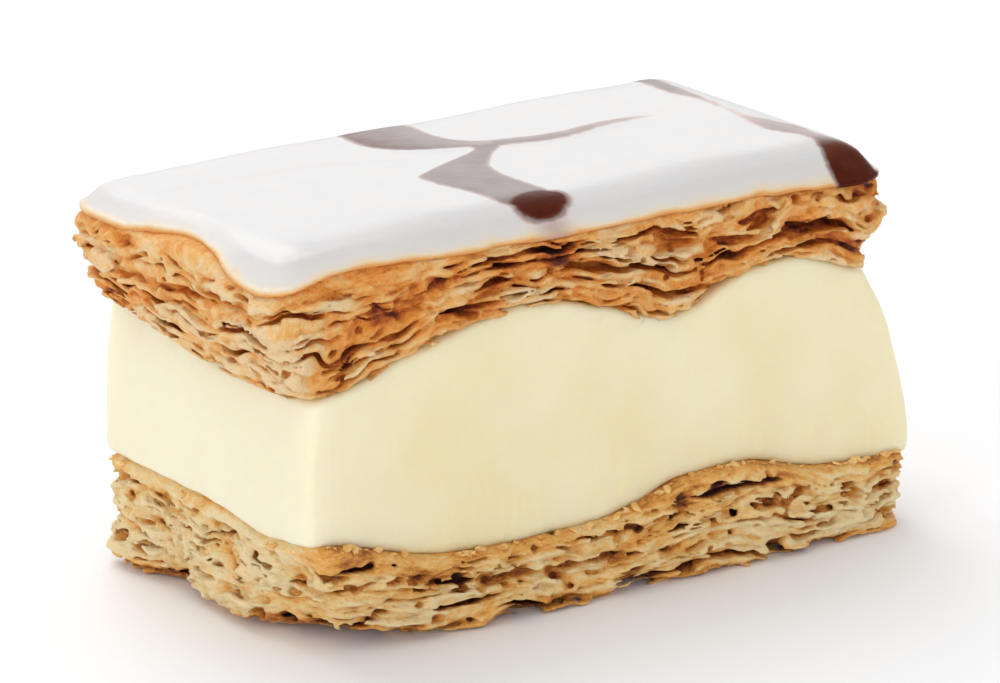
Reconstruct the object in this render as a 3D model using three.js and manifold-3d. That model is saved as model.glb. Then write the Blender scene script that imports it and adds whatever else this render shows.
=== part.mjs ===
// Mille-feuille, also called a vanilla slice: a cut block of set custard between two slabs of puff
// pastry, under a poured white fondant icing that is feathered with dragged chocolate lines.
// Millimetres, +Z up. The long side runs along X and the near cut side faces -Y.
import * as THREE from 'three';
import { mergeVertices } from 'three/addons/utils/BufferGeometryUtils.js';
import Module from 'manifold-3d';

const wasm = await Module();
wasm.setup();

// Driving dimensions: plan outlines of the four layers
const lidPlan = { length: 93.4, width: 47.4, centreX: -2.4, centreY: 0, corner: 4.2 };
const basePlan = { length: 92, width: 49, centreX: 1.7, centreY: -0.8, corner: 3.6 };
const custardHeadPlan = { length: 84, width: 45.8, centreX: -1.3, centreY: 0, corner: 1.4 };
const custardFootPlan = { length: 91.8, width: 46.4, centreX: 1.4, centreY: 0, corner: 1.4 };
const icingSetback = 0.5;

// Driving dimensions: levels above the table and thicknesses
const baseTopLevel = 9.6;
const lidUnderLevel = 36.5;
const lidTopLevel = 48.5;
const lidRimLevel = 46.7;
const icingThickness = 1.9;
const icingRimThickness = 0.6;
const layerGap = 0.35;
const custardSlump = 2.2;

// Driving dimensions: the flaky sides
const flakeDepth = 0.55;
const crackDepth = 1.1;
const crustRows = 3;
const crustRelief = 0.35;
const layerSag = 0.4;
const edgeRounding = 0.7;
const footRounding = 0.2;
const leftLean = { at: -49, reach: 9, rise: 3.7 };
const sideLeanShare = 0.6;

// Driving dimensions: the base's foot is flat, and its ragged rim lifts and draws in.
// Each swell gives its middle along X or Y, its reach either way and how far it rises.
const toeWidth = 6;
const toeLift = 0.5;
const footEndLift = { at: -45, reach: 6, rise: 1 };
const footCorner = { atX: -43, atY: -22, reachX: 12, reachY: 11, lift: 3.4, flatShare: 0.08, tuck: 6 };
const footNotch = { at: 9, reach: 4, tuck: 3.2 };
const footRightTuck = { at: 48, reach: 5, rise: 1.6 };
const baseBulge = { at: 26, reach: 16, rise: 0.9 };

// Driving dimensions: swells of the surfaces between the layers
const baseLeftEnd = { at: -44, reach: 13, rise: 5.2 };
const baseLeftDip = { at: -13, reach: 5, rise: -1.1 };
const baseNearMound = { at: 16.5, reach: 12, rise: 3.4 };
const baseFarMounds = [{ at: -6, reach: 12, rise: 2.4 }, { at: 33, reach: 9, rise: 1.6 }];
const underLeftEnd = { at: -44.5, reach: 13, nearDrop: 4.4, farDrop: 1.6 };
const underLeftSag = { at: -3, reach: 11, rise: -1.4 };
const underArch = { at: -13.4, reach: 11, rise: 2.4 };
const underFlap = { at: 10.5, reach: 8.5, rise: -2.9, endX: 17.6, endWidth: 0.7 };
const underRightEnd = [{ at: 28, reach: 7, rise: 1.2 }, { at: 41, reach: 6, rise: -2.2 }];
const underFarWaves = [{ at: -12, reach: 14, rise: 1.8 }, { at: 16, reach: 12, rise: -1.7 }];
const rimWidth = 6;
const rimNearWaves = [{ at: -38, reach: 13, rise: 1.5 }, { at: 44, reach: 17, rise: -1.5 }];
const rimLeftCorner = { atX: -49.5, atY: -19, reachX: 5.5, reachY: 8, rise: -2.4 };
const rimLeftMiddle = { atX: -49, atY: -3, reachX: 5, reachY: 6, rise: 1.2 };
const topWaves = [{ at: -22, reach: 11, rise: 0.45 }, { at: 20, reach: 10, rise: 0.4 }];
const icingShoulder = 7;
const icingBareEnd = { atX: -48, atY: -2, reachX: 6, reachY: 8, rise: 2.4 };
const icingRipple = 0.35;

// Driving dimensions: the chocolate. Stations give the place along a stripe, its middle and its
// half width. The main stripe runs from side to side and is dragged to a point, from which its
// tail runs on. The side stripe near the right end is thin, and widens over the near edge.
const chocolateRelief = 0.3;
const chocolateSink = 0.45;
const mainStripe = {
  runsAlongX: false,
  stations: [
    [-21.7, -8, 1.7], [-20.6, -8.2, 3.5], [-19.4, -8.1, 4.1], [-17, -8.9, 4.2], [-12.5, -9.6, 4.1],
    [-8, -10.2, 4.6], [-3.8, -10, 5.1], [0, -4.7, 3.3], [2, -1.1, 2.1], [3.6, 1.6, 1.8],
    [5, 0.5, 2.6], [6, -2.3, 3.2], [8.2, -5.6, 4.3], [12, -7.2, 5.1], [17, -6.8, 5.1], [21.6, -5.7, 4.6],
  ],
};
const mainTail = {
  runsAlongX: true,
  stations: [[-1, 4.4, 1.2], [3, 4, 1.3], [8, 2.5, 1.2], [12, 2, 1.1], [18, 2.7, 0.9], [26, 2.6, 0.3]],
};
const sideStripe = {
  runsAlongX: false,
  stations: [
    [-21.6, 37.9, 3.1], [-19.5, 37.4, 2], [-17, 36.8, 0.9], [-14, 36.5, 1.3], [-11.5, 36, 2.2],
    [-8, 35.4, 1.6], [-4, 35.2, 0.8], [1.4, 36.1, 0.5], [7, 36.5, 0.6], [11, 36, 1.2],
    [16, 36.4, 1.3], [21.6, 36.8, 1.2],
  ],
};

// Grid cells along the length, across the width and up the sides
const pastryCells = { long: 29, wide: 16, tall: 11 };
const custardCells = { long: 26, wide: 14, tall: 5 };
const icingCells = { long: 30, wide: 18, tall: 2 };
const stripeCells = { long: 28, wide: 3, tall: 1 };

const materials = {
  bottomPastry: { color: '#cfa873', roughness: 0.85, metalness: 0 },
  custard: { color: '#f0e8bd', roughness: 0.45, metalness: 0 },
  topPastry: { color: '#c98a45', roughness: 0.8, metalness: 0 },
  icing: { color: '#f3f3f1', roughness: 0.25, metalness: 0 },
};

// Small helpers for uneven food: a smooth hump, a soft step and a slow irregular wave
function hump(offset, reach) {
  return Math.exp(-((offset / reach) ** 2));
}

function softStep(offset, spread) {
  return 1 / (1 + Math.exp(-offset / spread));
}

function swell(value, { at, reach, rise }) {
  return rise * hump(value - at, reach);
}

function swells(value, list) {
  return list.reduce((sum, one) => sum + swell(value, one), 0);
}

function planSwell(x, y, { atX, atY, reachX, reachY, rise }) {
  return rise * hump(x - atX, reachX) * hump(y - atY, reachY);
}

function wave(x, y, seed) {
  const first = Math.sin(0.31 * x + 0.23 * y + 1.7 * seed);
  const second = Math.sin(0.53 * x - 0.47 * y + 2.9 * seed);
  const third = Math.sin(0.97 * x + 0.81 * y + 4.3 * seed);
  return (first + second + third) / 3;
}

// Share of the near cut side in a shape: 1 at the near side, 0 at the far side
function nearShare(y) {
  return THREE.MathUtils.clamp(0.5 - y / 40, 0, 1);
}

// Distance from a place inwards to the outline of a rounded rectangle
function insetFrom(x, y, plan) {
  const overX = Math.abs(x - plan.centreX) - plan.length / 2 + plan.corner;
  const overY = Math.abs(y - plan.centreY) - plan.width / 2 + plan.corner;
  const outside = Math.hypot(Math.max(overX, 0), Math.max(overY, 0));
  return plan.corner - outside - Math.min(Math.max(overX, overY), 0);
}

// Level surfaces between the layers
function baseTop(x, y) {
  const near = nearShare(y);
  const far = 1 - near;
  const { at, reach, rise } = baseNearMound;
  const leftEnd = hump(x - baseLeftEnd.at, baseLeftEnd.reach) * (baseLeftEnd.rise + swell(y, baseLeftDip));
  const nearMound = near * rise * Math.exp(-((Math.abs(x - at) / reach) ** 3));
  return baseTopLevel + leftEnd + nearMound + far * swells(x, baseFarMounds);
}

function lidUnder(x, y) {
  const near = nearShare(y);
  const far = 1 - near;
  const { nearDrop, farDrop } = underLeftEnd;
  const leftDrop = swell(y, underLeftSag) - nearDrop * near - farDrop * far;
  const leftEnd = leftDrop * hump(x - underLeftEnd.at, underLeftEnd.reach);
  const flap = swell(x, underFlap) * softStep(underFlap.endX - x, underFlap.endWidth);
  const nearForms = swell(x, underArch) + flap + swells(x, underRightEnd);
  return lidUnderLevel + leftEnd + near * nearForms + far * swells(x, underFarWaves);
}

// The lid's top is level under the icing and falls to a wavy rim, lowest at the two near corners
function lidRim(x, y) {
  const leftEnd = planSwell(x, y, rimLeftCorner) + planSwell(x, y, rimLeftMiddle);
  return lidRimLevel + nearShare(y) * swells(x, rimNearWaves) + leftEnd;
}

function lidTop(x, y) {
  const inward = THREE.MathUtils.clamp(insetFrom(x, y, lidPlan) / rimWidth, 0, 1);
  const fall = (1 - inward) ** 2;
  const plateau = lidTopLevel + swells(x, topWaves);
  return THREE.MathUtils.lerp(plateau, lidRim(x, y), fall);
}

// The icing is a pool that thins to a rounded shoulder at its rim
function icingTop(x, y) {
  const inset = insetFrom(x, y, lidPlan) - icingSetback;
  const inward = THREE.MathUtils.clamp(inset / icingShoulder, 0, 1);
  const roundness = Math.sqrt(1 - (1 - inward) ** 2);
  const thickness = THREE.MathUtils.lerp(icingRimThickness, icingThickness, roundness);
  return lidTop(x, y) + layerGap + thickness;
}

// A plan point of a rounded rectangle: u and v run from -1 to 1 between its opposite sides.
// It gives the place and the outward direction at the nearest side.
function planPoint(u, v, plan) {
  const halfLength = plan.length / 2;
  const halfWidth = plan.width / 2;
  let x = u * halfLength;
  let y = v * halfWidth;
  const overX = Math.max(0, Math.abs(x) - halfLength + plan.corner);
  const overY = Math.max(0, Math.abs(y) - halfWidth + plan.corner);
  const diagonal = Math.hypot(overX, overY);
  const outward = new THREE.Vector2(Math.sign(x) * overX, Math.sign(y) * overY);
  if (overX > 0 && overY > 0) {
    const shrink = Math.max(overX, overY) / diagonal;
    x = Math.sign(x) * (halfLength - plan.corner + overX * shrink);
    y = Math.sign(y) * (halfWidth - plan.corner + overY * shrink);
  }
  return { x: x + plan.centreX, y: y + plan.centreY, outward: outward.normalize() };
}

// A closed body from a box grid: place moves each grid point (u, v from -1 to 1, t from 0 to 1).
// The columns stand closer together towards the ends and the sides.
function formedBody(cells, place) {
  const box = new THREE.BoxGeometry(2, 2, 1, cells.long, cells.wide, cells.tall);
  box.translate(0, 0, 0.5);
  box.deleteAttribute('normal');
  box.deleteAttribute('uv');
  const body = mergeVertices(box);
  const position = body.getAttribute('position');
  const point = new THREE.Vector3();
  for (let index = 0; index < position.count; index += 1) {
    point.fromBufferAttribute(position, index);
    place(point);
    position.setXYZ(index, point.x, point.y, point.z);
  }
  body.computeVertexNormals();
  return body;
}

function crowd(value) {
  return 0.68 * value + 0.32 * Math.sin(value * Math.PI / 2);
}

// Flaky side relief: every second row of the grid is a groove between two laminae.
// Grooves come and go along the side, and some below the top crust open into deep cracks.
function flakeRelief(x, y, row, rows, seed) {
  const unevenness = wave(x, y, seed + row);
  if (row % 2 === 1) {
    return flakeDepth * (0.2 + 1.2 * unevenness);
  }
  const crusty = row > rows - crustRows ? crustRelief : 1;
  const crack = Math.max(0, wave(x, 2 * y, seed + 3 * row) - 0.1);
  return -crusty * (flakeDepth * (0.8 + 0.9 * unevenness) + crackDepth * crack);
}

// How much of the side relief a grid point takes: 1 at the outline, soon none further in
function rimShare(point) {
  return Math.max(Math.abs(point.x), Math.abs(point.y)) ** 10;
}

// The laminae aren't level: each one rises and sags by itself along the side
function flakeSag(x, y, row, rows, seed) {
  const free = row > 0 && row < rows ? 1 : 0;
  return free * layerSag * wave(1.3 * x, 1.3 * y, seed + 5 * row);
}

// Base slab: flat where it stands, with ragged toes that lift a little at the rim. The near left
// corner of the foot is broken off, so it draws in and lifts furthest.
function footCornerShare(x, y) {
  return hump(x - footCorner.atX, footCorner.reachX) * hump(y - footCorner.atY, footCorner.reachY);
}

function footTuck(x, y) {
  const leftEnd = softStep(basePlan.centreX - x, 1);
  const notch = footNotch.tuck * leftEnd * hump(y - footNotch.at, footNotch.reach);
  return footCornerShare(x, y) * footCorner.tuck + notch + swell(x, footRightTuck);
}

function bottomPastry() {
  const rows = pastryCells.tall;
  const seed = 2;
  return formedBody(pastryCells, (point) => {
    const { x, y, outward } = planPoint(crowd(point.x), crowd(point.y), basePlan);
    const row = Math.round(point.z * rows);
    const rim = rimShare(point);
    const edge = row === 0 ? -footRounding : -edgeRounding;
    const side = row > 0 && row < rows ? flakeRelief(x, y, row, rows, seed) : edge;
    const tuck = footTuck(x, y) * (1 - point.z) ** 1.5;
    const reach = rim * (side + swell(x, baseBulge) * nearShare(y) - tuck);
    const toe = THREE.MathUtils.clamp(1 - insetFrom(x, y, basePlan) / toeWidth, 0, 1) ** 2;
    const unevenLift = toeLift * (0.5 + 0.5 * wave(x, y, seed));
    const cornerLift = footCorner.lift * Math.max(0, footCornerShare(x, y) - footCorner.flatShare);
    const foot = toe * (unevenLift + swell(x, footEndLift)) + cornerLift;
    const sag = rim * flakeSag(x, y, row, rows, seed);
    const level = sag + THREE.MathUtils.lerp(foot, baseTop(x, y), point.z);
    point.set(x + outward.x * reach, y + outward.y * reach, level);
  });
}

// Lid slab: puffed high at the near left corner, where it leans out and hangs over the custard
function topPastry() {
  const rows = pastryCells.tall;
  const seed = 7;
  return formedBody(pastryCells, (point) => {
    const { x, y, outward } = planPoint(crowd(point.x), crowd(point.y), lidPlan);
    const row = Math.round(point.z * rows);
    const rim = rimShare(point);
    const side = row > 0 && row < rows ? flakeRelief(x, y, row, rows, seed) : -edgeRounding;
    const lean = swell(x, leftLean) * (1 - point.z) ** 2;
    const sag = rim * flakeSag(x, y, row, rows, seed);
    const level = sag + THREE.MathUtils.lerp(lidUnder(x, y), lidTop(x, y), point.z);
    const alongX = outward.x * rim * (side - lean);
    const alongY = outward.y * rim * (side - sideLeanShare * lean);
    point.set(x + alongX, y + alongY, level);
  });
}

// Custard block: cut square, with its right end slumped outwards to the foot
function custard() {
  return formedBody(custardCells, (point) => {
    const head = planPoint(crowd(point.x), crowd(point.y), custardHeadPlan);
    const foot = planPoint(crowd(point.x), crowd(point.y), custardFootPlan);
    const rise = point.z ** custardSlump;
    const x = THREE.MathUtils.lerp(foot.x, head.x, rise);
    const y = THREE.MathUtils.lerp(foot.y, head.y, rise);
    const low = baseTop(x, y) + layerGap;
    const high = lidUnder(x, y) - layerGap;
    point.set(x, y, THREE.MathUtils.lerp(low, high, point.z));
  });
}

// Icing: it follows the lid's top and stops short of the lid's edge, furthest at the left end
function icingPlanPoint(u, v) {
  const plan = planPoint(u, v, {
    ...lidPlan,
    length: lidPlan.length - 2 * icingSetback,
    width: lidPlan.width - 2 * icingSetback,
  });
  const edge = Math.max(Math.abs(u), Math.abs(v)) ** 6;
  const bare = planSwell(plan.x, plan.y, icingBareEnd);
  const ripple = icingRipple * wave(plan.x, plan.y, 5);
  plan.x += edge * (bare + plan.outward.x * ripple);
  plan.y += edge * plan.outward.y * ripple;
  return plan;
}

function icingPool() {
  return formedBody(icingCells, (point) => {
    const plan = icingPlanPoint(crowd(point.x), crowd(point.y));
    const low = lidTop(plan.x, plan.y) + layerGap;
    const high = icingTop(plan.x, plan.y);
    const edge = Math.max(Math.abs(point.x), Math.abs(point.y)) ** 12;
    const tuck = 0.5 * edge * Math.abs(2 * point.z - 1);
    point.x = plan.x - plan.outward.x * tuck;
    point.y = plan.y - plan.outward.y * tuck;
    point.z = THREE.MathUtils.lerp(low, high, point.z);
  });
}

// Middle and half width of a stripe at a place along it, between its stations
function stripeAt(stations, along) {
  const next = Math.max(1, stations.findIndex(([at]) => at > along - 0.001));
  const [from, fromMiddle, fromHalf] = stations[next - 1];
  const [to, toMiddle, toHalf] = stations[next];
  const share = (along - from) / (to - from);
  return {
    middle: THREE.MathUtils.lerp(fromMiddle, toMiddle, share),
    half: THREE.MathUtils.lerp(fromHalf, toHalf, share),
  };
}

// A chocolate stripe lies half sunk in the icing
function chocolateStripe({ runsAlongX, stations }) {
  const start = stations[0][0];
  const end = stations[stations.length - 1][0];
  return formedBody(stripeCells, (point) => {
    const along = THREE.MathUtils.lerp(start, end, (point.x + 1) / 2);
    const { middle, half } = stripeAt(stations, along);
    const across = half * point.y;
    const x = runsAlongX ? along : middle - across;
    const y = runsAlongX ? middle + across : along;
    const crown = chocolateRelief * (1 - 0.6 * Math.abs(point.y)) * (1 - Math.abs(point.x) ** 8);
    point.set(x, y, icingTop(x, y) + (point.z > 0.5 ? crown : -chocolateSink));
  });
}

// Joins closed bodies into one
function joined(bodies) {
  const solids = bodies.map((body) => {
    const vertProperties = new Float32Array(body.getAttribute('position').array);
    const triVerts = new Uint32Array(body.getIndex().array);
    return new wasm.Manifold(new wasm.Mesh({ numProp: 3, vertProperties, triVerts }));
  });
  const whole = solids.reduce((sum, solid) => sum.add(solid)).getMesh();
  const geometry = new THREE.BufferGeometry();
  geometry.setAttribute('position', new THREE.BufferAttribute(whole.vertProperties, 3));
  geometry.setIndex(new THREE.BufferAttribute(whole.triVerts, 1));
  geometry.computeVertexNormals();
  return geometry;
}

function icingWithChocolate() {
  const stripes = [mainStripe, mainTail, sideStripe].map(chocolateStripe);
  return joined([icingPool(), ...stripes]);
}

function namedMesh(name, geometry, look) {
  const mesh = new THREE.Mesh(geometry, new THREE.MeshStandardMaterial(look));
  mesh.name = name;
  return mesh;
}

// The origin is under the middle of the whole slice, on the table
const slice = new THREE.Group();
slice.add(namedMesh('bottom_pastry', bottomPastry(), materials.bottomPastry));
slice.add(namedMesh('custard', custard(), materials.custard));
slice.add(namedMesh('top_pastry', topPastry(), materials.topPastry));
slice.add(namedMesh('icing', icingWithChocolate(), materials.icing));
const middle = new THREE.Box3().setFromObject(slice).getCenter(new THREE.Vector3());
slice.position.set(-middle.x, -middle.y, 0);

export default slice;
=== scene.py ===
import math

import bpy
import numpy as np
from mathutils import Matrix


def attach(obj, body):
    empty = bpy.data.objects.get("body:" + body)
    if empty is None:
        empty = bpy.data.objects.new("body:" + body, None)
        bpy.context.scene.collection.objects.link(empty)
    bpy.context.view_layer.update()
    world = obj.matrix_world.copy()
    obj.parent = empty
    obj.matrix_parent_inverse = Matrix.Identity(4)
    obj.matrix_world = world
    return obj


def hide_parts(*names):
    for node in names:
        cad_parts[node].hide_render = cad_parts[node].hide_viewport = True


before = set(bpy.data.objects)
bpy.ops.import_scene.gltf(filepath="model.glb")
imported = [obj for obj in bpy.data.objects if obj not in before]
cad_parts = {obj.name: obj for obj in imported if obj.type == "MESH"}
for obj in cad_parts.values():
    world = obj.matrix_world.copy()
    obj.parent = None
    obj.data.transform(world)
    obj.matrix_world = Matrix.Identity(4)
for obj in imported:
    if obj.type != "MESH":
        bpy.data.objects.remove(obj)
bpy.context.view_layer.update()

import openvdb
from mathutils import Euler, Vector
from mathutils.bvhtree import BVHTree

# Bottom pastry
# The lower slab of the slice: puff pastry dough folded with butter into many leaves, baked
# under a weight so that it stays dense and pale, then sawn through. Its cut sides show thin
# leaf ends, lens-shaped gaps, small baked bubbles and a browned sole, whose darkening along
# the foot is partly painted contact shade.

MM = 0.001
PASTRY_VOXEL = 0.24
MOST_TRIANGLES = 190000

# In mm: the softening takes the solid's facets away before the leaves are worked out, in a shell
# from under its surface to just over it. The last is the height of a groove between two leaves.
SLAB_SOFTENING = (0.7, 0.7, 0.4)
SHELL_UNDER = 3.6
SHELL_OVER = 1.0
GROOVE_HEIGHT = 0.22

# Direction in the plan of the near right corner, which is worn away on both slabs
NEAR_RIGHT = (0.81, -0.586)


def linear(hex_colour):
    """Linear RGBA of an sRGB hex colour."""
    parts = [int(hex_colour[i:i + 2], 16) / 255 for i in (1, 3, 5)]
    return tuple(p / 12.92 if p <= 0.04045 else ((p + 0.055) / 1.055) ** 2.4 for p in parts) + (1.0,)


def node_distance(name, voxel, margin, reach):
    """Distances in mm to a CAD node's surface, negative inside, and the three grid axes in mm.
    They are right for the margin outside the surface and the reach inside it."""
    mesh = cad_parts[name].data
    mesh.calc_loop_triangles()
    points = np.empty(len(mesh.vertices) * 3, np.float32)
    mesh.vertices.foreach_get("co", points)
    corners = np.empty(len(mesh.loop_triangles) * 3, np.int32)
    mesh.loop_triangles.foreach_get("vertices", corners)
    points = (points.reshape(-1, 3) / (MM * voxel)).astype(np.float32)
    grid = openvdb.FloatGrid.createLevelSetFromPolygons(
        points, triangles=corners.reshape(-1, 3).astype(np.uint32),
        exBandWidth=margin / voxel, inBandWidth=reach / voxel)
    low = np.floor(points.min(0) - margin / voxel).astype(int)
    high = np.ceil(points.max(0) + margin / voxel).astype(int)
    block = np.empty(tuple(high - low + 1), np.float32)
    grid.copyToArray(block, ijk=tuple(int(v) for v in low))
    axes = [np.arange(low[i], high[i] + 1, dtype=np.float32) * voxel for i in range(3)]
    return block * voxel, axes


def blurred(block, widths):
    """A block smoothed along each of its axes by a Gaussian of that many cells."""
    for axis, width in enumerate(widths):
        reach = int(math.ceil(2.5 * width))
        if reach < 1:
            continue
        weights = np.exp(-0.5 * (np.arange(-reach, reach + 1) / width) ** 2)
        weights /= weights.sum()
        total = np.zeros_like(block)
        places = np.arange(block.shape[axis])
        for shift, weight in zip(range(-reach, reach + 1), weights):
            source = np.clip(places + shift, 0, len(places) - 1)
            total += np.float32(weight) * np.take(block, source, axis=axis)
        block = total
    return block


def spline_weights(axis, cell):
    """Matrix that blends lattice values, one for each cell, smoothly along a grid axis."""
    place = (axis - axis[0]) / cell
    first = np.floor(place).astype(int)
    f = (place - first).astype(np.float32)
    taps = [(1 - f) ** 3, 3 * f ** 3 - 6 * f ** 2 + 4, -3 * f ** 3 + 3 * f ** 2 + 3 * f + 1, f ** 3]
    weights = np.zeros((len(axis), first.max() + 4), np.float32)
    for step, tap in enumerate(taps):
        weights[np.arange(len(axis)), first + step] = tap / 6
    return weights


def cloud(axes, cells, seed):
    """Smooth random field over the grid, with blobs of about the given size in mm."""
    across, along, up = [spline_weights(axis, cell) for axis, cell in zip(axes, cells)]
    shape = (across.shape[1], along.shape[1], up.shape[1])
    lattice = np.random.default_rng(seed).standard_normal(shape)
    field = np.tensordot(across, lattice.astype(np.float32), (1, 0))
    field = np.matmul(along, field)
    field = field @ up.T
    return field / field.std()


def sheets(axes, cell, count, seed):
    """One smooth random plan field for each leaf of the pastry."""
    across, along = [spline_weights(axis, cell) for axis in axes[:2]]
    shape = (across.shape[1], along.shape[1], count)
    lattice = np.random.default_rng(seed).standard_normal(shape)
    field = np.tensordot(across, lattice.astype(np.float32), (1, 0))
    field = np.matmul(along, field)
    return field / field.std()


def slab_faces(distance, axes, voxel, middle):
    """Heights of a slab's underside and top over the plan, carried on past its sides."""
    inside = distance < 0
    low = axes[2][np.argmax(inside, axis=2)]
    high = axes[2][len(axes[2]) - 1 - np.argmax(inside[:, :, ::-1], axis=2)]
    level = int(round((middle - axes[2][0]) / voxel))

    # They are sure only well inside the sides, and wider and wider blurs carry them on from there
    sure = (distance[:, :, level] < -2.2).astype(np.float32)[:, :, None]
    faces = []
    for height in (low, high):
        known = height.astype(np.float32)[:, :, None] * sure
        filled = np.zeros_like(known)
        for width in (1.2, 3, 6, 12):
            cells = (width / voxel, width / voxel, 0)
            weight = blurred(sure, cells)
            open_place = (filled == 0) & (weight > 0.02)
            filled = np.where(open_place, blurred(known, cells) / np.maximum(weight, 1e-4), filled)
        faces.append(filled)
    return faces


def sampled(block, axes, voxel, places):
    """Values of a block at places in mm, blended between its cells."""
    start = np.array([axis[0] for axis in axes])
    place = (places - start) / voxel
    cell = np.clip(np.floor(place).astype(int), 0, np.array(block.shape) - 2)
    share = (place - cell).astype(np.float32)
    value = np.zeros(len(places), np.float32)
    for corner in np.ndindex(2, 2, 2):
        weight = np.prod(np.where(corner, share, 1 - share), axis=1)
        value += weight * block[tuple((cell + corner).T)]
    return value


def largest_piece(count, faces):
    """Which vertices belong to the piece that holds the most of them."""
    label = np.arange(count)
    while True:
        lowest = label[faces].min(axis=1)
        updated = label.copy()
        for column in range(faces.shape[1]):
            np.minimum.at(updated, faces[:, column], lowest)
        updated = updated[updated]
        if np.array_equal(updated, label):
            break
        label = updated
    return label == np.bincount(label, minlength=count).argmax()


def skin(name, block, axes, voxel, adaptivity):
    """Mesh of the surface where a block of distances is zero, thinned where it has too many
    triangles, and its places in mm."""
    grid = openvdb.FloatGrid(float(block.max()))
    start = tuple(int(round(axis[0] / voxel)) for axis in axes)
    grid.copyFromArray(np.ascontiguousarray(block, np.float32), ijk=start, tolerance=0.0)
    points, triangles, quads = grid.convertToPolygons(0.0, adaptivity)
    triangles = triangles.astype(np.int64).reshape(-1, 3)
    quads = quads.astype(np.int64).reshape(-1, 4)
    faces = np.concatenate([quads, np.concatenate([triangles, triangles[:, 2:3]], axis=1)])
    keep = largest_piece(len(points), faces)
    number = np.cumsum(keep) - 1
    quads = number[quads[keep[quads[:, 0]]]]
    triangles = number[triangles[keep[triangles[:, 0]]]]
    faces = quads[:, ::-1].tolist() + triangles[:, ::-1].tolist()
    mesh = bpy.data.meshes.new(name)
    mesh.from_pydata(points[keep] * voxel * MM, [], faces)
    piece = bpy.data.objects.new(name, mesh)
    bpy.context.scene.collection.objects.link(piece)
    count = 2 * len(quads) + len(triangles)
    if count > MOST_TRIANGLES:
        piece.modifiers.new("thinned", "DECIMATE").ratio = MOST_TRIANGLES / count
        bpy.context.view_layer.update()
        shown = piece.evaluated_get(bpy.context.evaluated_depsgraph_get())
        piece.data = bpy.data.meshes.new_from_object(shown)
        piece.modifiers.clear()
        piece.data.name = name
    piece.data.shade_smooth()
    places = np.empty(len(piece.data.vertices) * 3, np.float32)
    piece.data.vertices.foreach_get("co", places)
    return piece, places.reshape(-1, 3) / MM


def store(piece, name, values):
    """Keeps one number for each vertex, for the materials to read."""
    kept = piece.data.attributes.new(name, "FLOAT", "POINT")
    kept.data.foreach_set("value", values.astype(np.float32))


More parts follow.
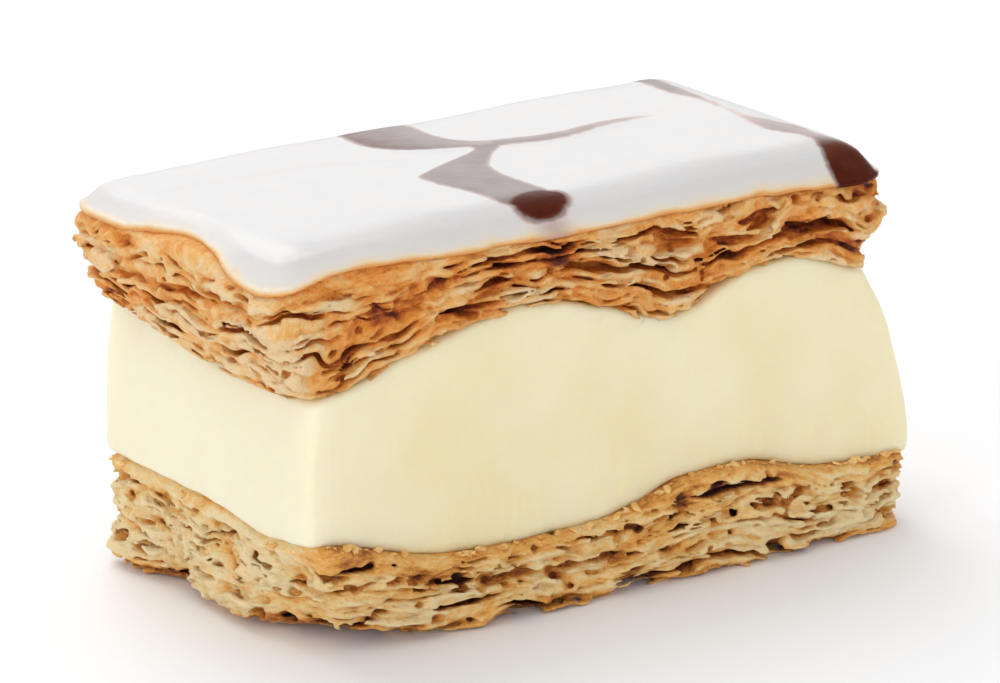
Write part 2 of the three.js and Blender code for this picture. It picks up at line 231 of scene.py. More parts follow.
def leafy_slab(name, look):
    """A puff pastry slab grown from its CAD node: wavy leaf ends with long thin gaps between."""
    voxel = PASTRY_VOXEL
    distance, axes = node_distance(name, voxel, 1.4, 5.0)
    smooth = blurred(distance, tuple(width / voxel for width in SLAB_SOFTENING))
    under, top = slab_faces(distance, axes, voxel, look["middle"])

    # The near right corner is worn away past a distance along its direction, and further the
    # lower it is below a height
    worn_to, slant, slant_from = look["worn_corner"]
    cut = (NEAR_RIGHT[0] * axes[0][:, None, None] + NEAR_RIGHT[1] * axes[1][None, :, None] - worn_to
           + slant * np.clip(slant_from - axes[2], 0, 8)[None, None, :])
    smooth = np.maximum(smooth, cut)
    seed = look["seed"]
    shell = np.nonzero((smooth > -SHELL_UNDER) & (smooth < SHELL_OVER))
    plan = shell[:2]
    x, y, z = [axis[index] for axis, index in zip(axes, shell)]
    low = under[plan][:, 0]
    high = top[plan][:, 0]
    share = (z - low) / (high - low)
    pitch = (high - low) / look["leaves"]
    depth = -smooth[shell]

    # Which leaf a place is in: a number that rises through the slab, bent in waves of 10, 3.4
    # and 1.4 mm, so that whole leaves rise and fall
    sway = [cloud(axes, (3.4, 3.4, 2.6), seed + step)[shell] for step in range(2)]
    bend = cloud(axes, (10, 10, 5), seed + 2)[shell] + 0.6 * sway[0]
    ripple = 0.16 * cloud(axes, (1.4, 1.4, 1.4), seed + 3)[shell]
    leaf = look["leaves"] * share + look["waviness"] * bend + ripple
    crust = np.clip((share - look["crust_from"]) * 9, 0, 1)

    # The relief stays off the slab's top and, away from its sides, off its underside
    level = int(round((look["middle"] - axes[2][0]) / voxel))
    near_side = np.clip(1.8 + 0.6 * smooth[:, :, level][plan], 0, 1)
    inward = np.clip((high - z) / 0.9, 0, 1) * np.where(z - low < 1.0, near_side, 1)

    def gaps(scale, length, shut, half_high, deep, number):
        """Size in mm of the gaps between leaves at each place, positive inside a gap. A scale of 2
        puts them between half leaves."""
        count = int(scale * look["leaves"]) + 8
        index = np.clip(np.rint(scale * leaf).astype(int) + 3, 0, count - 1)
        opening = sheets(axes, length, count, number)[shell[0], shell[1], index]
        each = np.random.default_rng(number).standard_normal(count).astype(np.float32)
        opening += 0.7 * each[index] - shut
        away = np.abs(scale * leaf + 3 - index) * pitch / scale
        too_deep = 0.5 * np.maximum(0, depth - deep * opening)
        return np.minimum(half_high * opening, 1.3 * half_high) - away - too_deep

    # Air: gaps between leaves, finer ones between half leaves, baked bubbles and, last, the
    # largest dark slots, each given by its place, half length, half height and half depth
    void = np.maximum(
        gaps(1.0, look["gap"], look["shut"], look["gap_high"], look["gap_deep"], seed + 5),
        gaps(2.0, 0.5 * look["gap"], look["shut"] + 0.1, 0.2, 0.8, seed + 6))
    bubble = cloud(axes, (1.1, 1.1, 0.8), seed + 7)[shell] - look["closed"]
    void = np.maximum(void, 0.4 * bubble - 0.5 * np.maximum(0, depth - 0.7)) - 0.8 * crust
    for slot_x, slot_y, slot_z, half_long, half_high, half_deep in look["slots"]:
        along = (x + 0.4 * sway[0] - slot_x) / half_long
        inwards = (y - slot_y) / half_deep
        up = (z + 0.2 * sway[1] - slot_z) / half_high
        reach = np.sqrt(along ** 2 + inwards ** 2 + up ** 2)
        void = np.maximum(void, (1 - reach) * half_high)

    # Each leaf ends a little further out or in than the next, with a groove between them
    count = int(look["leaves"]) + 6
    sheet = np.clip(np.floor(leaf).astype(int) + 2, 0, count - 1)
    ragged = look["ragged"] * sheets(axes, 3.2, count, seed + 8)[shell[0], shell[1], sheet]
    ragged += 0.6 * look["ragged"] * sheets(axes, 1.1, count, seed + 9)[shell[0], shell[1], sheet]
    ragged += look["grain"] * cloud(axes, (0.8, 0.8, 0.6), seed + 10)[shell]
    from_groove = np.abs(leaf - np.rint(leaf)) * pitch / GROOVE_HEIGHT
    ragged += look["groove"] * np.exp(-from_groove ** 2) * (1 - 0.8 * crust)
    outer = smooth[shell] + inward * (1 - 0.6 * crust) * np.clip(ragged, -0.7, 0.9)
    field = smooth.copy()
    field[shell] = np.maximum(outer, np.minimum(void, 0.9))
    above_table = -axes[2][None, None, :]
    field = np.maximum(field, above_table)
    piece, places = skin(name + "_leaves", field, axes, voxel, 0.01)

    def kept(values):
        """Values of the shell's places at the mesh's vertices."""
        block = np.zeros(smooth.shape, np.float32)
        block[shell] = values
        return sampled(block, axes, voxel, places)

    store(piece, "depth", -sampled(smooth, axes, voxel, places))
    store(piece, "leaf", kept(leaf))
    height_share = kept(share)
    store(piece, "share", height_share)
    tone = sheets(axes, 5, count, seed + 11)[shell[0], shell[1], sheet]
    store(piece, "tone", kept(tone + 0.6 * cloud(axes, (3, 3, 1.2), seed + 12)[shell]))
    return piece, places, height_share


def hump(offset, reach):
    """1 where the offset is 0, and soon nothing past the reach."""
    return np.exp(-(offset / reach) ** 2)


def node(tree, kind, settings, output=0):
    """Adds a shader node and gives one of its outputs. A setting is one of the node's own
    values, its colour stops, or a socket with a value or with the output that feeds it."""
    made = tree.nodes.new(kind)
    for key, value in settings.items():
        if key == "stops":
            elements = made.color_ramp.elements
            while len(elements) < len(value):
                elements.new(0.5)
            for element, (place, colour) in zip(elements, value):
                element.position = place
                element.color = linear(colour)
        elif isinstance(key, str) and hasattr(made, key):
            setattr(made, key, value)
        elif isinstance(value, bpy.types.NodeSocket):
            tree.links.new(value, made.inputs[key])
        else:
            made.inputs[key].default_value = value
    return made.outputs[output]


def new_material(name):
    """An empty node material, its tree and its shader's sockets."""
    material = bpy.data.materials.new(name)
    material.use_nodes = True
    tree = material.node_tree
    return material, tree, tree.nodes["Principled BSDF"].inputs


def streaks(tree, place, leaf, long_mm, per_leaf):
    """Pattern drawn out along the leaves, that many times finer up through them."""
    axes = {axis: node(tree, "ShaderNodeSeparateXYZ", {"Vector": place}, axis) for axis in "XY"}
    drawn = {axis: node(tree, "ShaderNodeMath", {
        "operation": "MULTIPLY", 0: axes[axis], 1: 1 / (long_mm * MM)}) for axis in "XY"}
    drawn["Z"] = node(tree, "ShaderNodeMath", {"operation": "MULTIPLY", 0: leaf, 1: per_leaf})
    along = node(tree, "ShaderNodeCombineXYZ", drawn)
    return node(tree, "ShaderNodeTexNoise", {
        "Vector": along, "Scale": 1.0, "Detail": 3.0, "Roughness": 0.6})


def pastry_material(name, stops, bake):
    """Baked puff pastry, torn and sawn: toasted leaf ends over paler crumb, with the dull shine of
    butter. Leaf ends that stand out are paler, a painted highlight, and each gap is darker the
    deeper it goes, partly browner crumb and partly painted shade."""
    material, tree, shader = new_material(name)
    place = node(tree, "ShaderNodeTexCoord", {}, "Object")
    depth, leaf, share, tone, stain = [
        node(tree, "ShaderNodeAttribute", {"attribute_name": kept}, "Fac")
        for kept in ("depth", "leaf", "share", "tone", "stain")]
    drawn = streaks(tree, place, leaf, 2.4, 1.3)
    fine = streaks(tree, place, leaf, 0.9, 3.0)
    blotches = node(tree, "ShaderNodeTexNoise", {
        "Vector": place, "Scale": 1 / (8 * MM), "Detail": 3.0})
    crust = node(tree, "ShaderNodeMath", {
        "operation": "SUBTRACT", "use_clamp": True, 0: share, 1: bake["crust_from"]})
    # Painted light from the depth under the smooth surface: raised leaf ends get a painted
    # highlight, and gaps get darker, partly painted shade and partly browner crumb
    raised = node(tree, "ShaderNodeMath", {"operation": "MAXIMUM", 0: depth, 1: -0.4})
    leaf_end_highlight_and_gap_shade = node(tree, "ShaderNodeMath", {"operation": "MINIMUM", 0: raised, 1: 1.1})
    deep_gap_shade_and_browning = node(tree, "ShaderNodeMath", {
        "operation": "SUBTRACT", "use_clamp": True, 0: depth, 1: 0.5})

    # How far each place is baked, from 0 to 1, with painted highlight and shade mixed in: each
    # pattern adds to the slab's own level, less the half that the three noises give on average
    baked = bake["level"] - 0.5 * (1.8 * bake["streak"] + 0.5)
    for part, weight in (
            (tone, bake["tone"]), (drawn, bake["streak"]), (fine, 0.8 * bake["streak"]),
            (blotches, 0.5), (crust, bake["crust"]), (leaf_end_highlight_and_gap_shade, bake["gap_shade_and_highlight"]),
            (deep_gap_shade_and_browning, bake["deep"]), (stain, 0.6)):
        baked = node(tree, "ShaderNodeMath", {
            "operation": "MULTIPLY_ADD", "use_clamp": part is stain, 0: part, 1: weight, 2: baked})
    colour = node(tree, "ShaderNodeValToRGB", {"Fac": baked, "stops": stops})
    tree.links.new(colour, shader["Base Color"])

    # Grain of 0.35 mm, as coarse as it has to be to show, on streaks of 0.9 and 2.4 mm
    grain = node(tree, "ShaderNodeTexNoise", {
        "Vector": place, "Scale": 1 / (0.35 * MM), "Detail": 4.0, "Roughness": 0.7})
    for part, weight in ((fine, 0.7), (drawn, 0.8)):
        grain = node(tree, "ShaderNodeMath", {
            "operation": "MULTIPLY_ADD", 0: part, 1: weight, 2: grain})
    relief = node(tree, "ShaderNodeBump", {"Strength": 0.9, "Distance": 0.5 * MM, "Height": grain})
    tree.links.new(relief, shader["Normal"])
    butter = node(tree, "ShaderNodeTexNoise", {
        "Vector": place, "Scale": 1 / (1.4 * MM), "Detail": 3.0})
    gloss = node(tree, "ShaderNodeMapRange", {
        "Value": butter, "From Min": 0.2, "From Max": 0.8, "To Min": 0.36, "To Max": 0.75})
    tree.links.new(gloss, shader["Roughness"])
    shader["Subsurface Weight"].default_value = 0.12
    shader["Subsurface Radius"].default_value = (1.0, 0.5, 0.25)
    shader["Subsurface Scale"].default_value = 1.0 * MM
    return material


# Lengths are in mm. More waviness bends the leaves more, and the larger shut and closed are, the
# fewer gaps and bubbles there are. The slots and the worn corner are where the photo shows them.
base_look = {
    "seed": 11, "middle": 6.0, "leaves": 11.0, "waviness": 0.4, "crust_from": 0.9,
    "gap": 2.6, "shut": 0.55, "gap_high": 0.3, "gap_deep": 1.4, "closed": 1.0,
    "ragged": 0.25, "grain": 0.13, "groove": 0.2, "worn_corner": (50.9, 0.12, 9.0),
    "slots": [
        (17.8, -24.6, 10.6, 7.0, 0.55, 2.8), (24.2, -24.0, 13.2, 4.4, 0.6, 2.4),
        (37.6, -24.4, 6.0, 1.4, 0.9, 1.8), (7.8, -24.6, 9.0, 2.6, 0.5, 1.8),
        (8.8, -24.6, 4.4, 2.4, 0.6, 1.8), (-32.4, -24.2, 8.9, 1.7, 0.6, 2.6),
        (-28.2, -24.2, 8.2, 1.5, 0.6, 2.6), (-42.0, -24.0, 9.4, 3.4, 0.45, 2.2),
        (-14.8, -24.4, 5.5, 4.6, 0.65, 3.0), (-7.0, -24.6, 5.5, 4.2, 0.65, 3.0),
        (-0.6, -24.6, 5.2, 3.4, 0.55, 3.0), (-23.4, -24.4, 7.2, 1.6, 0.6, 2.4),
        (-13.8, -24.2, 12.0, 1.0, 0.5, 1.6), (-10.0, -24.2, 11.5, 1.0, 0.5, 1.6),
        (15.4, -24.8, 5.3, 1.6, 0.5, 1.6), (-23.0, -24.6, 0.9, 2.6, 1.3, 2.4),
        (-15.4, -24.6, 0.8, 3.8, 1.5, 2.4), (-1.0, -24.8, 0.2, 3.2, 1.2, 2.2),
        (7.5, -24.8, 0.1, 4.8, 1.0, 2.2), (25.3, -24.8, 0.0, 2.9, 0.8, 2.0),
        (-44.4, 1.3, 4.7, 2.4, 0.5, 2.4), (-44.2, -5.5, 2.9, 2.4, 0.6, 2.0),
    ],
}
base, places, share = leafy_slab("bottom_pastry", base_look)

# It is paler on the right and scorched in one spot. Its left end, where the left light falls,
# is paler too, which is painted light, and its lowest millimetre is darker, partly a browned
# sole and partly painted contact shade.
x, y, z = places.T
# The lower slab's left end, where the left light falls, is made paler: painted light
pale_left = np.clip((-40 - x) / 5, 0, 1)
pale_right = np.clip((x - 14) / 8, 0, 1) * np.clip((0.75 - share) / 0.15, 0, 1)
scorched = hump(x - 27.5, 3) * hump(z - 14.8, 0.8) * (y < -22)
# The lowest millimetre is darkened: partly a browned sole, partly painted contact shade under the
# foot
browned_sole_and_contact_shade = np.clip((0.14 - share) / 0.08, 0, 1)
pale = 0.52 * pale_left + 0.2 * pale_right
store(base, "stain", 0.5 * scorched + 0.5 * browned_sole_and_contact_shade - pale * (1 - browned_sole_and_contact_shade))
# Of the bake weights, the two that follow the depth paint a highlight on raised leaf ends and shade
# in the gaps, where the crumb is also browner
base.data.materials.append(pastry_material(
    "pale_puff_pastry_sawn",
    [(0.0, "#ffe5b0"), (0.22, "#ffd48c"), (0.46, "#f5b052"),
     (0.68, "#c27526"), (0.86, "#73340b"), (1.0, "#330f03")],
    {"level": 0.18, "tone": 0.08, "streak": 0.7, "crust_from": 0.68, "crust": 0.8,
     "gap_shade_and_highlight": 0.26, "deep": 0.34}))
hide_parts("bottom_pastry")
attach(base, "root")

# Custard
# A thick block of vanilla custard, boiled with starch and set between the two slabs, then
# cut with a long wet knife, which leaves faint upright drag marks on smooth, shiny sides.

CUSTARD_VOXEL = 0.5


def custard_material():
    """Set vanilla custard, wiped by the knife: soft pale yellow that glows at its edges, with a
    wiped smear low on its sides. Its left end, where the left light falls, is whiter: painted
    light and sheen."""
    material, tree, shader = new_material("vanilla_custard_knife_cut")
    place = node(tree, "ShaderNodeTexCoord", {}, "Object")
    x, z = [node(tree, "ShaderNodeSeparateXYZ", {"Vector": place}, axis) for axis in "XZ"]
    cloudy = node(tree, "ShaderNodeTexNoise", {"Vector": place, "Scale": 1 / (14 * MM)})
    body = node(tree, "ShaderNodeValToRGB", {
        "Fac": cloudy, "stops": [(0.3, "#f3eac9"), (0.7, "#efe3b8")]})
    # The left end, which the left light falls on, is paled toward a whiter cream: painted light and
    # sheen
    painted_end_light = node(tree, "ShaderNodeMapRange", {
        "Value": x, "From Min": -38 * MM, "From Max": -46 * MM, "To Min": 0.0, "To Max": 0.7})
    paler = node(tree, "ShaderNodeMix", {
        "data_type": "RGBA", "Factor": painted_end_light, "A": body, "B": linear("#edead7")}, "Result")
    low = node(tree, "ShaderNodeMapRange", {
        "Value": z, "From Min": 21 * MM, "From Max": 13 * MM, "To Min": 0.0, "To Max": 2.6})

    # The knife's drag marks are patterns of 1.6 and 1.1 mm, drawn out upwards
    upwards = node(tree, "ShaderNodeMapping", {"Vector": place, "Scale": (1.0, 1.0, 0.12)})
    dragged = node(tree, "ShaderNodeTexNoise", {"Vector": upwards, "Scale": 1 / (1.6 * MM)})
    dragged = node(tree, "ShaderNodeMath", {"operation": "SUBTRACT", 0: dragged, 1: 0.5})
    wiped = node(tree, "ShaderNodeMath", {
        "operation": "MULTIPLY", "use_clamp": True, 0: dragged, 1: low})
    smeared = node(tree, "ShaderNodeMix", {
        "data_type": "RGBA", "Factor": wiped, "A": paler, "B": linear("#f6e9bb")}, "Result")
    tree.links.new(smeared, shader["Base Color"])
    lines = node(tree, "ShaderNodeTexNoise", {
        "Vector": upwards, "Scale": 1 / (1.1 * MM), "Detail": 3.0})
    grit = node(tree, "ShaderNodeTexNoise", {"Vector": place, "Scale": 1 / (0.7 * MM)})
    height = node(tree, "ShaderNodeMath", {"operation": "MULTIPLY_ADD", 0: grit, 1: 0.4, 2: lines})
    relief = node(tree, "ShaderNodeBump", {"Strength": 0.3, "Distance": 0.2 * MM, "Height": height})
    tree.links.new(relief, shader["Normal"])
    shader["Roughness"].default_value = 0.4
    shader["Subsurface Weight"].default_value = 0.7
    shader["Subsurface Radius"].default_value = (1.0, 0.75, 0.35)
    shader["Subsurface Scale"].default_value = 3.0 * MM
    return material


# The block is rounded, goes 0.6 mm into both slabs, and slumps outwards at the foot of its right
# end. Its sides are slightly uneven.
distance, axes = node_distance("custard", CUSTARD_VOXEL, 1.5, 4.0)
rounded = blurred(distance, (1.1, 1.1, 1.1))
upright = np.gradient(rounded, CUSTARD_VOXEL, axis=2)
right_end = np.clip((axes[0] - 38) / 8, 0, 1)[:, None, None]
foot = np.clip((24 - axes[2]) / 11, 0, 1)[None, None, :]
block = rounded - 0.6 * upright ** 2 - 0.8 * (right_end * foot)
block = block + 0.05 * cloud(axes, (2.0, 2.0, 9.0), 31) + 0.07 * cloud(axes, (8, 8, 6), 32)
filling = skin("custard_block", block, axes, CUSTARD_VOXEL, 0.01)[0]
filling.data.materials.append(custard_material())
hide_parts("custard")
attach(filling, "root")

# Top pastry
# The upper slab, baked with less weight: golden, crisp and puffed, highest at the near left
# corner. A closed brown crust lies over loose buttery leaves with long dark gaps, and
# chocolate that ran over the edge of the icing has stained it in two places.

lid_look = {
    "seed": 51, "middle": 43.5, "leaves": 9.0, "waviness": 0.42, "crust_from": 0.8,
    "gap": 3.4, "shut": 0.5, "gap_high": 0.32, "gap_deep": 2.0, "closed": 1.5,
    "ragged": 0.32, "grain": 0.1, "groove": 0.28, "worn_corner": (47.6, 0.5, 41.0),
    "slots": [
        (10.6, -22.8, 42.4, 4.4, 0.5, 2.8), (19.6, -22.8, 42.2, 5.0, 0.55, 2.8),
        (33.4, -22.6, 40.9, 4.2, 0.5, 2.6), (12.0, -22.6, 36.9, 5.8, 0.5, 2.8),
        (-3.2, -22.6, 42.4, 4.8, 0.38, 2.2), (-23.4, -22.4, 37.8, 3.8, 0.42, 2.2),
        (-47.6, -1.0, 42.2, 2.2, 0.45, 4.6), (-47.6, -10.0, 43.0, 2.2, 0.45, 4.2),
    ],
}
lid, places, share = leafy_slab("top_pastry", lid_look)

# Chocolate darkens it at the near edge and at the corner. The ends are paler below the crust,
# and so is the crust right under the icing.
x, y, z = places.T
run = 0.78 * hump(x + 8.0, 3.4) * np.clip((z - 42) / 1.6, 0, 1) * (y < -20)
corner_run = 0.6 * hump(x - 40.5, 3.4) * np.clip((z - 42) / 3, 0, 1) * (y < -17)
chocolate = np.maximum(run, corner_run)
pale_left = 0.3 * hump(x + 46, 7) * hump(y + 22, 14) + 0.1 * (x < -45)
pale_right = 0.2 * np.clip((x - 41.5) / 2, 0, 1)
below_crust = 1 - np.clip((share - 0.7) / 0.1, 0, 1)
glazed = np.clip((share - 0.86) / 0.12, 0, 1)
pale = 0.34 * glazed * (1 - 0.8 * hump(x + 43, 7)) + (pale_left + pale_right) * below_crust
store(lid, "stain", chocolate - pale * (1 - chocolate))
# Of the bake weights, the two that follow the depth paint a highlight on raised leaf ends and shade
# in the gaps, where the crumb is also browner
lid.data.materials.append(pastry_material(
    "golden_puff_pastry_sawn",
    [(0.0, "#ffdca8"), (0.22, "#ffc373"), (0.46, "#f49a38"),
     (0.68, "#c56216"), (0.86, "#702707"), (1.0, "#300c03")],
    {"level": 0.27, "tone": 0.08, "streak": 0.7, "crust_from": 0.78, "crust": 0.5,
     "gap_shade_and_highlight": 0.22, "deep": 0.2}))
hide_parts("top_pastry")
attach(lid, "root")

# Icing
# White fondant, warmed and poured over the baked lid, where it levels and thins to a soft rim.
# While it is wet, lines of melted chocolate are piped across it and dragged with a knife point.

ICING_VOXEL = 0.34

# In mm: how far the pool spreads past its solid, how far its rim sinks, how much deeper it is
# seated there, and how far its edges are rounded. The stripes' places are given in mm from the
# middle of the lid's plan.
POOL_SPREAD = 0.35
RIM_SINK = 0.35
RIM_SEAT = 1.0
EDGE_ROUNDING = 0.16
PLAN_MIDDLE = (0.657, 1.217)


def zero_height(distance, axes, voxel, outward):
    """Height of a block's top (outward 1) or underside (outward -1) over the plan, between its
    cells, and where it has one."""
    inside = distance < 0
    last = distance.shape[2] - 1
    first_inside = np.argmax(inside[:, :, ::-outward], axis=2)
    inner = last - first_inside if outward > 0 else first_inside
    outer = np.clip(inner + outward, 0, last)
    plan = np.indices(inner.shape)
    d_in = distance[plan[0], plan[1], inner]
    d_out = distance[plan[0], plan[1], outer]
    share = np.clip(-d_in / np.maximum(d_out - d_in, 1e-6), 0, 1)
    has = inside.any(axis=2)
    return np.where(has, axes[2][inner] + outward * share * voxel, 0), has


def spread_smooth(values, known, cells):
    """Plan values smoothed where they are known, and carried on past the rim."""
    known = known.astype(np.float32)[:, :, None]
    values = values.astype(np.float32)[:, :, None] * known
    filled = blurred(values, (cells, cells, 0)) / np.maximum(blurred(known, (cells, cells, 0)), 1e-5)
    return filled[:, :, 0]


def eased(values, start, stop):
    """Rises smoothly from 0 at the start to 1 at the stop."""
    share = np.clip((values - start) / (stop - start), 0, 1)
    return share * share * (3 - 2 * share)


def drawn_line(places, stations, values):
    """Values along a hand-drawn line, given at a few stations and rounded between them."""
    step, rounding, reach = 0.25, 0.8, 9
    fine = np.arange(stations[0] - 3, stations[-1] + 3, step)
    weights = np.exp(-0.5 * (np.arange(-reach, reach + 1) * step / rounding) ** 2)
    drawn = np.convolve(np.interp(fine, stations, values), weights / weights.sum(), mode="same")
    sure = slice(reach + 1, -reach - 1)
    return np.interp(places, fine[sure], drawn[sure])


def icing_material():
    """Set fondant, glossy and a little see-through: tan where it thins over the crust. The
    chocolate sank in flush: grey-brown where the knife spread it, a grey that is partly thin
    chocolate and partly painted glare, near black where it pooled."""
    material, tree, shader = new_material("poured_fondant_and_dragged_chocolate")
    place = node(tree, "ShaderNodeTexCoord", {}, "Object")
    thin, stripe, cocoa, smear = [
        node(tree, "ShaderNodeAttribute", {"attribute_name": kept}, "Fac")
        for kept in ("thin", "stripe", "cocoa", "smear")]
    cloudy = node(tree, "ShaderNodeTexNoise", {
        "Vector": place, "Scale": 1 / (4 * MM), "Detail": 3.0})
    cloudy = node(tree, "ShaderNodeMath", {"operation": "SUBTRACT", 0: cloudy, 1: 0.5})
    thinned = node(tree, "ShaderNodeMath", {
        "operation": "MULTIPLY_ADD", 0: cloudy, 1: 0.45, 2: thin})
    white = node(tree, "ShaderNodeValToRGB", {"Fac": thinned, "stops": [
        (0.0, "#d4d3d4"), (0.4, "#dbd7d2"), (0.58, "#e6d4b6"), (0.8, "#e4b87c"), (1.0, "#d8944a")]})

    # The stripe attribute is the distance in mm to the chocolate's edge, which wavers by up to
    # 0.45 mm either way, and is soft over 0.75 mm either way
    waver = node(tree, "ShaderNodeTexNoise", {
        "Vector": place, "Scale": 1 / (1.6 * MM), "Detail": 3.0})
    edge = node(tree, "ShaderNodeMath", {"operation": "MULTIPLY_ADD", 0: waver, 1: 0.9, 2: stripe})
    mask = node(tree, "ShaderNodeMapRange", {
        "interpolation_type": "SMOOTHSTEP", "Value": edge,
        "From Min": 0.45 - 0.75, "From Max": 0.45 + 0.75})
    strength = node(tree, "ShaderNodeMath", {
        "operation": "MULTIPLY_ADD", 0: cloudy, 1: 0.28, 2: cocoa})
    striped = node(tree, "ShaderNodeMath", {"operation": "MULTIPLY", 0: mask, 1: strength})
    dark = node(tree, "ShaderNodeMath", {
        "operation": "MAXIMUM", "use_clamp": True, 0: striped, 1: smear})
    # The grey middle stops are partly the colour of thin chocolate and partly painted glare of the
    # light on its gloss
    chocolate = node(tree, "ShaderNodeValToRGB", {"Fac": dark, "stops": [
        (0.0, "#cc9a88"), (0.34, "#a38f8b"), (0.6, "#7e6e6a"), (0.82, "#643220"), (1.0, "#4e1805")]})
    cover = node(tree, "ShaderNodeMapRange", {
        "interpolation_type": "SMOOTHSTEP", "Value": dark, "From Min": 0.0, "From Max": 0.34})
    colour = node(tree, "ShaderNodeMix", {
        "data_type": "RGBA", "Factor": cover, "A": white, "B": chocolate}, "Result")
    tree.links.new(colour, shader["Base Color"])

    # The set surface is uneven over 6 and 1.5 mm
    broad = node(tree, "ShaderNodeTexNoise", {"Vector": place, "Scale": 1 / (6 * MM)})
    fine = node(tree, "ShaderNodeTexNoise", {"Vector": place, "Scale": 1 / (1.5 * MM)})
    height = node(tree, "ShaderNodeMath", {"operation": "MULTIPLY_ADD", 0: broad, 1: 1.6, 2: fine})
    relief = node(tree, "ShaderNodeBump", {"Strength": 0.14, "Distance": 0.3 * MM, "Height": height})
    tree.links.new(relief, shader["Normal"])
    sheen = node(tree, "ShaderNodeMapRange", {
        "Value": dark, "From Min": 0.6, "From Max": 0.9, "To Min": 0.5, "To Max": 0.08})
    tree.links.new(sheen, shader["Specular IOR Level"])
    shader["Roughness"].default_value = 0.28
    shader["Subsurface Weight"].default_value = 0.3
    shader["Subsurface Radius"].default_value = (1.0, 0.95, 0.85)
    shader["Subsurface Scale"].default_value = 1.0 * MM
    return material


# The pool is as thick as its solid in the middle, and thins to its rim
distance, axes = node_distance("icing", ICING_VOXEL, 1.5, 3.0)
high, known = zero_height(distance, axes, ICING_VOXEL, 1)
low = zero_height(distance, axes, ICING_VOXEL, -1)[0]
high = spread_smooth(high, known, 3.2)
low = spread_smooth(low, known, 3.2)
outline = blurred(distance.min(axis=2)[:, :, None], (1.8, 1.8, 0))
spread = (1.5 / ICING_VOXEL, 1.5 / ICING_VOXEL, 0)
inner = np.clip(2 * blurred(known.astype(np.float32)[:, :, None], spread)[:, :, 0] - 1, 0, 1)
fade = np.clip(inner / 0.85, 0, 1)
crown = low + (high - low) * (0.35 + 0.65 * fade) - RIM_SINK * (1 - fade)
seat = low - RIM_SEAT * (1 - fade)
height = axes[2][None, None, :]
faces = [height - crown[:, :, None], seat[:, :, None] - height, outline - POOL_SPREAD + 0 * height]
rounded = sum(np.exp(np.clip(face / EDGE_ROUNDING, -60, 60)) for face in faces)
block = EDGE_ROUNDING * np.log(rounded)
pool, places = skin("icing_pool", block, axes, ICING_VOXEL, 0.0)

# The main stripe crosses near the middle, swings out to the right and ends at the near edge in
# a pool of chocolate. Like the other stripes it is a distance to its edge, positive inside.
x = places[:, 0] - PLAN_MIDDLE[0]
y = places[:, 1] - PLAN_MIDDLE[1]
z = places[:, 2]
rows = [-22, -17, -12.5, -8, -3.8, 0, 2, 3.6, 5, 6, 8.2, 12, 17, 24]
left_edge = drawn_line(y, rows, [
    -12.6, -13.1, -13.6, -14.8, -15.2, -8.0, -3.1, -0.2, -2.2, -5.6, -10.0, -12.3, -11.9, -9.5])
right_edge = drawn_line(y, rows, [
    -4.6, -5.2, -5.5, -5.6, -4.7, -1.4, 1.0, 3.4, 3.4, 1.0, -1.2, -2.0, -1.7, -0.8])
past_end = 2 * np.maximum(0, -18.2 - y)
main = (right_edge - left_edge) / 2 - np.hypot(x - (left_edge + right_edge) / 2, past_end)
blob = 2.6 * (1 - np.hypot((x + 8.0) / 4.3, (y + 19.4 - 0.12 * (x + 8)) / 2.6))
pooled = eased(blob, -0.5, 0.6)
main = np.maximum(main, blob)

# A thin tail was dragged out of it to the right
tail_y = drawn_line(x, [-2, 3, 8, 12, 18, 26], [4.6, 4.0, 2.5, 2.0, 2.7, 2.6])
tail_half = drawn_line(x, [0, 10, 16, 24, 28], [1.3, 1.2, 1.0, 0.5, -0.6])
tail = np.where((x > -1) & (x < 29), tail_half - np.abs(y - tail_y), -3)

# The side stripe runs beside the right end and widens at the near corner
rows = [-25, -22, -19.5, -17, -14, -11.5, -8, -4, 1.4, 7, 11, 16, 24]
side_x = drawn_line(y, rows, [
    38.8, 38.4, 37.7, 36.8, 36.5, 36.0, 35.4, 35.2, 36.1, 36.5, 36.0, 36.4, 37.0])
side_half = drawn_line(y, rows, [
    4.0, 3.9, 2.6, 0.9, 1.3, 2.3, 1.6, 0.8, 0.4, 0.6, 1.2, 1.3, 1.2])
side = side_half - np.abs(x - side_x)

# How much chocolate there is, from 0 to 1
main_cocoa = np.where(y > 4, 0.6 - 0.03 * (x + 6), 0.58) + 0.5 * pooled
tail_cocoa = 0.58 - 0.34 * np.clip(x / 28, 0, 1)
side_cocoa = drawn_line(y, rows, [
    1.0, 1.0, 0.9, 0.42, 0.38, 0.4, 0.34, 0.24, 0.2, 0.34, 0.52, 0.62, 0.5])
cocoa = np.where(tail >= side, tail_cocoa, side_cocoa)
cocoa = np.where(main >= np.maximum(tail, side), main_cocoa, cocoa)
store(pool, "stripe", np.clip(np.maximum(np.maximum(main, tail), side), -3, 3))
store(pool, "cocoa", np.clip(cocoa, 0, 1))

# The knife left a faint line on the left, and some of the pool ran over the near edge
knife_y = np.interp(x, [-40, -24.5, -12], [9.8, 7.7, 4.2])
knife_line = 0.06 * hump(y - knife_y, 0.9) * (x < -10) * (x > -42)
run = 0.22 * hump(x + 8.4, 3.0) * eased(-y, 21.4, 22.4)
store(pool, "smear", np.maximum(knife_line, run))
plan = tuple(
    np.clip(np.rint((places[:, i] - axes[i][0]) / ICING_VOXEL).astype(int), 0, len(axes[i]) - 1)
    for i in range(2))
skirt = np.clip(crown[plan] - z + 0.1, 0, 1)
store(pool, "thin", 0.42 * (1 - inner[plan]) + 0.9 * skirt)
pool.data.materials.append(icing_material())
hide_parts("icing")
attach(pool, "root")

# Crumbs
# Flakes that broke off the crust of the lower slab when it was cut, and stick in a broken line
# where the custard meets it.

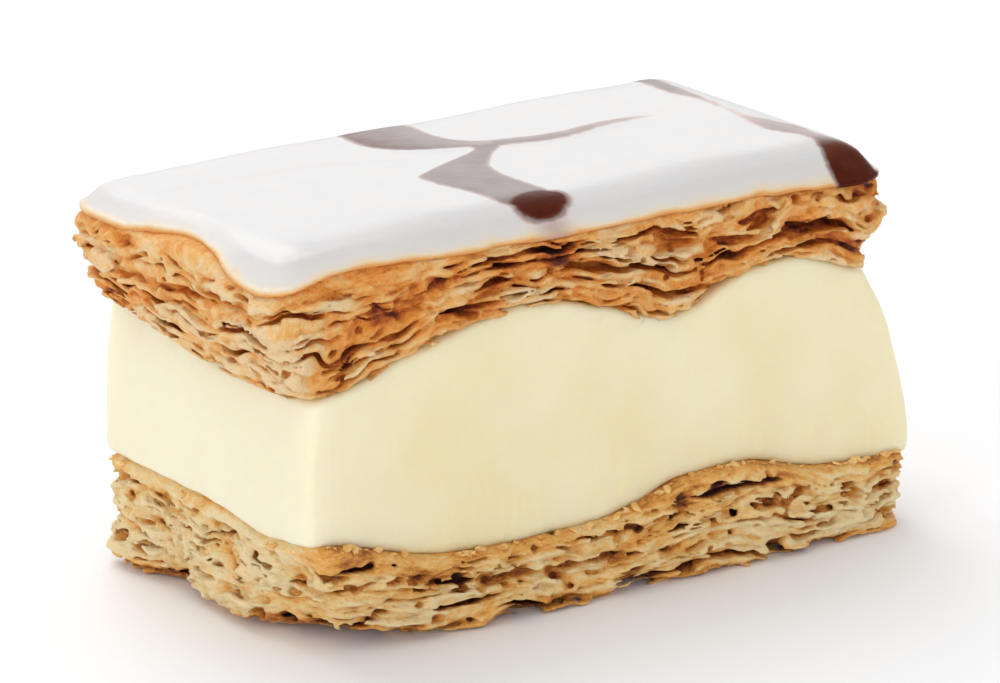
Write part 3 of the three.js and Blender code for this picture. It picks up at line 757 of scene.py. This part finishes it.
CRUMB_COUNT = 120
SPOT_COUNT = 9000
FLAKE_SIZE = np.array([1.2, 0.8, 0.4])

# A flake has two poles and two rings of five corners
FLAKE_CORNERS = np.array([(0, 0, 1), (0, 0, -1)] + [
    (math.cos(turn) * math.cos(tilt), math.sin(turn) * math.cos(tilt), math.sin(tilt))
    for tilt in (0.5, -0.5) for turn in np.arange(5) * 1.2566 + (tilt > 0) * 0.628])
ring = [(i, (i + 1) % 5) for i in range(5)]
FLAKE_FACES = (
    [(0, 2 + i, 2 + j) for i, j in ring] + [(1, 7 + j, 7 + i) for i, j in ring]
    + [(2 + i, 7 + i, 7 + j) for i, j in ring] + [(2 + i, 7 + j, 2 + j) for i, j in ring])


def crumb_material():
    """Toasted crust broken small: matt golden brown, each crumb its own shade."""
    material, tree, shader = new_material("broken_pastry_crust")
    place = node(tree, "ShaderNodeTexCoord", {}, "Object")
    own = node(tree, "ShaderNodeTexNoise", {"Vector": place, "Scale": 1 / (2.2 * MM)})
    own = node(tree, "ShaderNodeMath", {"operation": "SUBTRACT", 0: own, 1: 0.35})
    fine = node(tree, "ShaderNodeTexNoise", {
        "Vector": place, "Scale": 1 / (0.3 * MM), "Detail": 3.0})
    shade = node(tree, "ShaderNodeMath", {"operation": "MULTIPLY_ADD", 0: fine, 1: 0.6, 2: own})
    colour = node(tree, "ShaderNodeValToRGB", {
        "Fac": shade, "stops": [(0.2, "#f6d496"), (0.55, "#dca656"), (0.9, "#a0662a")]})
    tree.links.new(colour, shader["Base Color"])
    grain = node(tree, "ShaderNodeTexNoise", {
        "Vector": place, "Scale": 1 / (0.25 * MM), "Detail": 3.0})
    relief = node(tree, "ShaderNodeBump", {"Strength": 0.6, "Distance": 0.1 * MM, "Height": grain})
    tree.links.new(relief, shader["Normal"])
    shader["Roughness"].default_value = 0.6
    return material


# Each spot drops onto the lower slab, and the first ones that land beside the custard are kept
base_tree = BVHTree.FromObject(base, bpy.context.evaluated_depsgraph_get())
custard_distance, axes = node_distance("custard", CUSTARD_VOXEL, 4.0, 3.0)
random = np.random.default_rng(71)
spots_x = random.uniform(-50, 50, SPOT_COUNT)
spots_y = random.uniform(-27, 27, SPOT_COUNT)
landed = []
for spot_x, spot_y in zip(spots_x, spots_y):
    hit = base_tree.ray_cast(Vector((spot_x * MM, spot_y * MM, 22 * MM)), Vector((0, 0, -1)))[0]
    if hit is not None and hit.z > 8.5 * MM:
        landed.append(tuple(hit / MM))
landed = np.array(landed)
near = sampled(custard_distance, axes, CUSTARD_VOXEL, landed + np.array([0, 0, 1.0]))
landed = landed[(near > 0.1) & (near < 0.9)][:CRUMB_COUNT]
points, faces = [], []
for spot in landed:
    size = random.uniform(0.25, 0.95) * FLAKE_SIZE
    turn = Euler((
        random.uniform(-0.6, 0.6), random.uniform(-0.6, 0.6), random.uniform(0, 6.3))).to_matrix()
    flake = FLAKE_CORNERS * random.uniform(0.6, 1.25, (len(FLAKE_CORNERS), 1)) * size
    flake = flake @ np.array(turn).T + spot + (0, 0, 0.1)
    faces += [tuple(corner + len(points) for corner in face) for face in FLAKE_FACES]
    points += [tuple(point * MM) for point in flake]
crumb_mesh = bpy.data.meshes.new("crust_crumbs")
crumb_mesh.from_pydata(points, [], faces)
crumbs = bpy.data.objects.new("crust_crumbs", crumb_mesh)
bpy.context.scene.collection.objects.link(crumbs)
crumb_mesh.materials.append(crumb_material())
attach(crumbs, "root")

# Floor, light and camera
# A white seamless sweep under a large soft overhead light from behind on the left, with a
# white panel behind the slice that shows in the gloss of its top.

FLOOR_REACH = 3
CAMERA_AZIMUTH = math.radians(35.9)
CAMERA_ELEVATION = math.radians(17.4)
CAMERA_DISTANCE = 0.663
CAMERA_AIM = Vector((-0.00012, 0.00004, 0.0269))

floor_mesh = bpy.data.meshes.new("floor")
floor_mesh.from_pydata(
    [(x * FLOOR_REACH, y * FLOOR_REACH, 0) for x, y in ((-1, -1), (1, -1), (1, 1), (-1, 1))],
    [], [(0, 1, 2, 3)])
floor = bpy.data.objects.new("floor", floor_mesh)
bpy.context.scene.collection.objects.link(floor)
floor_material, _, floor_shader = new_material("white_studio_sweep")
floor_shader["Base Color"].default_value = linear("#f7f8fb")
floor_shader["Roughness"].default_value = 0.9
floor_shader["Specular IOR Level"].default_value = 0.2
floor_mesh.materials.append(floor_material)

world = bpy.data.worlds.new("studio")
world.use_nodes = True
sky = world.node_tree.nodes["Background"].inputs
sky["Color"].default_value = (1, 1, 1, 1)
sky["Strength"].default_value = 0.69
bpy.context.scene.world = world
bpy.context.scene.view_settings.view_transform = "Standard"


def area_light(name, place, width, height, power):
    """A rectangular soft light that faces the slice."""
    light = bpy.data.lights.new(name, "AREA")
    light.shape = "RECTANGLE"
    light.size = width
    light.size_y = height
    light.energy = power
    lamp = bpy.data.objects.new(name, light)
    lamp.location = place
    towards = Vector((0, 0, 0.03)) - Vector(place)
    lamp.rotation_euler = towards.to_track_quat("-Z", "Y").to_euler()
    bpy.context.scene.collection.objects.link(lamp)


area_light("overhead_softbox", (0.05, 0.6, 0.85), 0.8, 0.8, 4.8)
area_light("left_panel", (-0.9, -0.15, 0.3), 0.5, 0.4, 1.7)
area_light("back_panel", (0.75, 1.0, 0.42), 1.4, 0.4, 1.5)
area_light("front_fill", (-0.3, -1.25, 0.5), 1.0, 0.8, 3.0)

camera_data = bpy.data.cameras.new("camera")
camera_data.lens = 191.7
camera_data.sensor_width = 36
camera = bpy.data.objects.new("camera", camera_data)
forward = Vector((
    math.sin(CAMERA_AZIMUTH) * math.cos(CAMERA_ELEVATION),
    math.cos(CAMERA_AZIMUTH) * math.cos(CAMERA_ELEVATION),
    -math.sin(CAMERA_ELEVATION)))
camera.location = CAMERA_AIM - CAMERA_DISTANCE * forward
camera.rotation_euler = forward.to_track_quat("-Z", "Y").to_euler()
bpy.context.scene.collection.objects.link(camera)
bpy.context.scene.camera = camera
